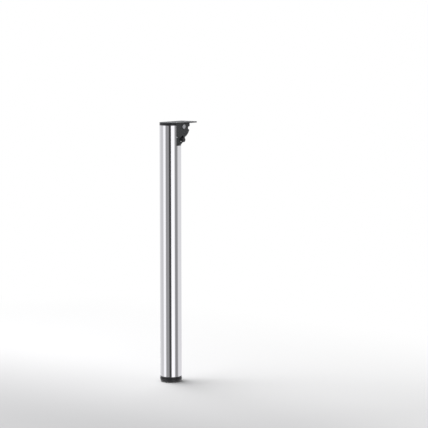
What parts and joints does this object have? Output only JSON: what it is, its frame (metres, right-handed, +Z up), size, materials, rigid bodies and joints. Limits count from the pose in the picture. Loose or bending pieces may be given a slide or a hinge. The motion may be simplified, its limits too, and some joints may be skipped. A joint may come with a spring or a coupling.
{
  "type": "folding table leg",
  "caption": "Round chrome table leg on a folding hinge plate, with a spring latch that locks it upright or folded and a screw foot for levelling.",
  "frame": {"origin": "on the mounting plate's top face, where the axis of the upright leg meets it", "axes": "+Z up into the tabletop along the upright leg, +X towards the side to which the leg folds"},
  "size_m": [0.1148, 0.068, 0.73],
  "materials": {
    "chrome": "polished chrome plate",
    "dark_cast": "dark grey powder coat, satin",
    "zinc_steel": "bright zinc plate",
    "black_plastic": "black moulded plastic, fine grain",
    "bush_plastic": "natural nylon",
    "glide_rubber": "dark rubber"
  },
  "bodies": {
    "mounting_bracket": {"mounting_plate": "dark_cast", "hinge_bracket": "dark_cast", "bracket_rivets": "zinc_steel", "pivot_pin": "zinc_steel", "pivot_retaining_ring": "zinc_steel"},
    "leg": {"leg_tube": "chrome", "hinge_head": "dark_cast", "top_cap": "black_plastic", "head_screws": "zinc_steel", "lever_pin": "zinc_steel", "pivot_bushes": "bush_plastic", "latch_spring": "zinc_steel", "foot_plug": "black_plastic", "foot_nut": "zinc_steel"},
    "latch": {"release_lever": "dark_cast", "lock_bar": "zinc_steel", "lock_bar_grips": "black_plastic"},
    "levelling_spindle": {"foot_spindle": "zinc_steel"},
    "levelling_foot": {"foot_pad": "black_plastic", "foot_glide": "glide_rubber"}
  },
  "joints": [
    {"name": "leg_fold", "type": "hinge", "parent": "mounting_bracket", "child": "leg", "pos_m": [0.026, 0, -0.012], "axis": [0, -1, 0], "range_deg": [0, 90]},
    {"name": "latch", "type": "hinge", "parent": "leg", "child": "latch", "pos_m": [-0.0025, 0, -0.041], "axis": [0, -1, 0], "range_deg": [0, 17.28], "stiffness_Nm_per_rad": 0.6, "springref_deg": 25.78, "deforming": ["latch_spring"]},
    {"name": "foot_height", "type": "slide", "parent": "leg", "child": "levelling_spindle", "axis": [0, 0, -1], "range_m": [0, 0.02]},
    {"name": "foot_turn", "type": "hinge", "parent": "levelling_spindle", "child": "levelling_foot", "pos_m": [0, 0, -0.725], "axis": [0, 0, -1], "range_deg": [0, 4800]}
  ],
  "couplings": [
    {"joint": "foot_height", "follows": "foot_turn", "m_per_rad": 0.00023873}
  ]
}
